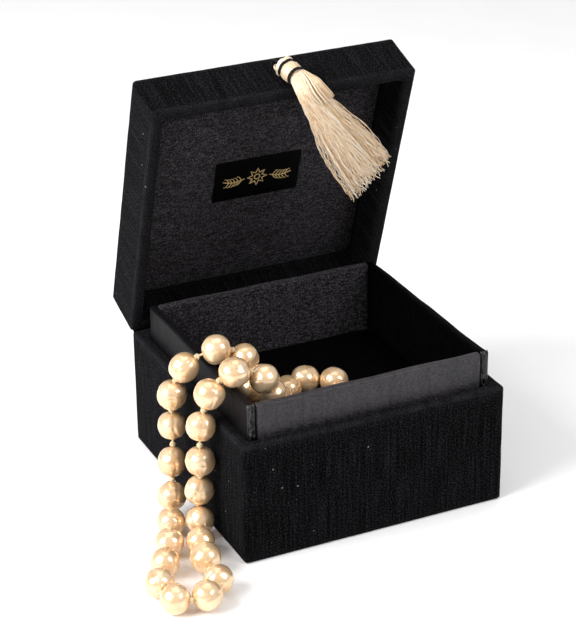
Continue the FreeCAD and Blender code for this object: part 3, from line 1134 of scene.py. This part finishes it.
def bindings():
    bands = Shape()
    for along, radius in BINDINGS:
        for turn in range(3):
            centre = open_point(along + (turn - 1) * 0.42, HEAD_LIFT)
            wide = radius + 0.12 * (turn == 1)
            circle = [head_point(centre, wide, a) for a in circle_angles(40)]
            tube(bands, circle, 0.27, 6, closed=True, seed=turn)
    bands.make("tassel_cords", "black_cord", "tassel", nodes=["tassel_bands"])


def sewn_loop():
    sewn, radius = Shape(), 2.0
    angles = [math.radians(a) for a in spaced(-40, 220, 24)]
    points = [open_point(radius * math.cos(a), LOOP_OUT - 0.2 + radius * math.sin(a)) for a in angles]
    tube(sewn, points, 0.45, 8, seed=5)
    sewn.make("sewn_loop", "black_cord", "lid", nodes=["tassel_loop"])


# Neck and skirt are one bundle: it leaves the second binding, turns over the rim and hangs.
OVER_RIM = NECK_START.lerp(NECK_END, 0.5) + Vector((0, 0, 0.25))
BEND = smooth_path([NECK_START, OVER_RIM, NECK_END, NECK_END + DOWN * 6], 24)
BEND_RUNS = around(BEND)
NECK = (NECK_END - NECK_START).length
# distance past the binding, half width to the left and to the right, half thickness
BUNDLE = (
    (0, 2.7, 2.9, 2.6), (NECK * 0.5, 2.9, 4.2, 2.8), (NECK, 3.3, 5.3, 3.0), (NECK + 4, 4.2, 5.5, 3.3),
    (NECK + 10, 5.3, 5.7, 3.7), (NECK + 22, 7.1, 7.2, 4.0), (NECK + 36, 8.7, 8.8, 4.3),
    (NECK + 48, 10, 9.9, 4.4),
)  # fmt: skip


def bundle_size(far, column):
    for a, b in zip(BUNDLE, BUNDLE[1:]):
        if far <= b[0]:
            return a[column] + (b[column] - a[column]) * max(0.0, (far - a[0]) / (b[0] - a[0]))
    return BUNDLE[-1][column]


def in_bundle(far, u, v):
    """The place far past the binding, at u of the width across and v of the thickness out."""
    if far >= BEND_RUNS[-1]:
        p = BEND[-1] + DOWN * (far - BEND_RUNS[-1])
    else:
        k = max(next(i for i, run in enumerate(BEND_RUNS) if run >= far), 1)
        before, after = BEND_RUNS[k - 1], BEND_RUNS[k]
        p = BEND[k - 1].lerp(BEND[k], (far - before) / (after - before))
    turn = min(max(far / (NECK * 1.4), 0.0), 1.0)
    turn = turn * turn * (3 - 2 * turn)
    wide = HEAD_SIDE.lerp(ACROSS, turn).normalized()
    thick = HEAD_ABOVE.lerp(OUT, turn).normalized()
    half = bundle_size(far, 2 if u > 0 else 1)
    return p + wide * (u * half) + thick * (v * bundle_size(far, 3))


def long_thread(rng):
    """A thread's points, down the bundle to a loose wavy end; a few stray to the side."""
    outer = rng.random() < 0.62
    a = rng.uniform(0, math.tau)
    r = rng.uniform(0.86, 1.0) if outer else math.sqrt(rng.random()) * 0.9
    u, v = r * math.cos(a), r * math.sin(a)
    length = NECK + SKIRT_LENGTH + rng.uniform(-4.5, 2.4) - 1.6 * u
    if rng.random() < 0.10:
        length -= rng.uniform(2, 14)
    phase, wave, pace = rng.uniform(0, math.tau), rng.uniform(0.10, 0.34), rng.uniform(0.4, 1.5)
    drift_u, drift_v = rng.uniform(-0.14, 0.14), rng.uniform(-0.12, 0.12)
    stray = rng.uniform(1.2, 3.4) if rng.random() < 0.07 else 0.0
    points = []
    for t in spaced(0, 1, 30):
        far = length * t
        uu, vv = u + drift_u * t, v + drift_v * t
        size = max(math.hypot(uu, vv), 1.0)
        p = in_bundle(far, uu / size, vv / size)
        sway = wave * min(1, far / 12) * (1 + 9 * max(0.0, t - 0.84))
        p = p + ACROSS * (sway * math.sin(pace * far + phase))
        p = p + OUT * (sway * 0.6 * math.cos(pace * far + phase))
        if stray and t > 0.35:
            side = 1 if u > 0 else -1
            p = p + ACROSS * (stray * math.sin((t - 0.35) / 0.65 * 2.6) * side)
        points.append(p)
    return points


def short_thread(rng):
    """One of a short bunch that lies along the right edge and ends bluntly."""
    u, v = rng.uniform(0.15, 1.02), rng.uniform(0.55, 1.05)
    length = NECK + 6.0 + rng.uniform(-0.9, 0.7) + 1.2 * u
    rise = rng.uniform(0.0, 0.9)
    points = []
    for t in spaced(0, 1, 10):
        p = in_bundle(length * t, u, v * (1 - 0.5 * max(0, u - 0.5)))
        p = p + ACROSS * (0.9 * t * u) + OUT * (0.25 + rise * t)
        points.append(p + HEAD_ABOVE * (0.4 * math.sin(math.pi * t)))
    return points


def tassel():
    head = Shape()
    bound_threads(head)
    wound_cap(head)
    link_to_loop(head)
    head.make("tassel_bound_head", "tassel_thread", "tassel", nodes=["tassel_head"], extra_name="shade")
    bindings()
    sewn_loop()
    rng = random.Random(41)
    skirt = Shape()
    for k in range(LONG_THREADS):
        tube(skirt, long_thread(rng), 0.155, 4, seed=k, extra=rng.random(), taper=0.1)
    for k in range(SHORT_THREADS):
        tube(skirt, short_thread(rng), 0.18, 4, seed=600 + k, extra=rng.random())
    threads = skirt.make(
        "tassel_threads", "tassel_thread", None, nodes=["tassel_skirt"], extra_name="shade"
    )
    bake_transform(threads)


tassel()


# ---------------------------------------------------------------- table and light
def stage_plane():
    mesh = bpy.data.meshes.new("table")
    size = 6.0
    corners = [(-size, -size, 0), (size, -size, 0), (size, size, 0), (-size, size, 0)]
    mesh.from_pydata(corners, [], [(0, 1, 2, 3)])
    look = Look("table")
    mottle = look.noise(look.object_place(), 30, 3)
    stops = [(0.3, (0.93, 0.93, 0.935)), (0.7, (0.95, 0.95, 0.955))]
    look.link(look.ramp(mottle, stops), "Base Color")
    look.set(Roughness=0.55, Specular_IOR_Level=0.3)
    mesh.materials.append(look.material)
    added("table", mesh)


stage_plane()

AIM = Vector((-0.01, 0, 0.05))


def lamp(name, place, size, power):
    data = bpy.data.lights.new(name, "AREA")
    data.shape = "RECTANGLE"
    data.size, data.size_y = size
    data.energy = power
    o = added(name, data)
    o.location = place
    o.rotation_euler = (AIM - Vector(place)).to_track_quat("-Z", "Y").to_euler()


lamp("left", (-0.84, -0.07, 0.58), (0.66, 0.66), 14.5)
lamp("right", (0.42, -0.66, 0.66), (0.42, 0.5), 4.2)
lamp("top", (0.05, 0.25, 1.25), (0.9, 0.9), 2.8)

world = bpy.data.worlds.new("world")
world.use_nodes = True
background = world.node_tree.nodes["Background"]
background.inputs["Color"].default_value = (1.0, 1.0, 1.0, 1)
background.inputs["Strength"].default_value = 0.52
bpy.context.scene.world = world
bpy.context.scene.view_settings.view_transform = "Standard"
